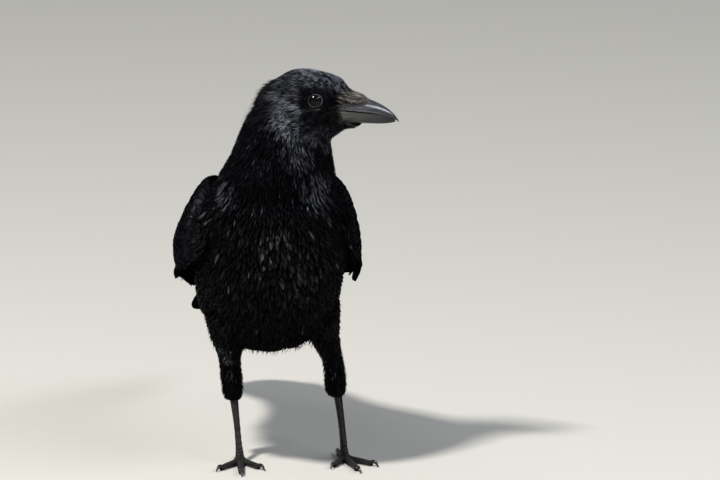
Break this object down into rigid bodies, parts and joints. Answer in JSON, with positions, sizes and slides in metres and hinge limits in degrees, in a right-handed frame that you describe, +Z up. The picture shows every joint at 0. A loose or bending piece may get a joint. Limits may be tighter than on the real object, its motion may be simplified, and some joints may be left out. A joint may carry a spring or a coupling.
{
  "type": "crow",
  "caption": "Life-size black crow standing upright on both feet, head turned to its left, with folded wings, a closed stout bill and a long tail.",
  "frame": {"origin": "floor point under the middle of the bird's bounding box", "axes": "+Z up, the breast faces -Y, the tail points to +Y, the bird's left side and its bill are towards +X"},
  "size_m": [0.1646, 0.3336, 0.3142],
  "materials": {
    "plumage": "black feathers with a faint blue-violet gloss",
    "flight_feathers": "smooth black vanes, glossier than the body",
    "horn": "polished slate-black horn",
    "eye": "wet, very dark brown",
    "scales": "dull black scaly skin",
    "claw": "semi-gloss black horn"
  },
  "bodies": {
    "root": {"trunk": "plumage", "neck": "plumage", "head": "plumage", "upper_bill": "horn", "lower_bill": "horn", "eye_left": "eye", "eye_right": "eye", "wing_left": "plumage", "wing_right": "plumage", "secondaries_left": "flight_feathers", "secondaries_right": "flight_feathers", "primaries_left": "flight_feathers", "primaries_right": "flight_feathers", "tail": "flight_feathers", "thigh_left": "plumage", "thigh_right": "plumage", "shank_left": "scales", "shank_right": "scales", "foot_left": "scales", "foot_right": "scales", "claw_left_middle": "claw", "claw_left_inner": "claw", "claw_left_outer": "claw", "claw_left_hind": "claw", "claw_right_middle": "claw", "claw_right_inner": "claw", "claw_right_outer": "claw", "claw_right_hind": "claw"}
  },
  "joints": []
}
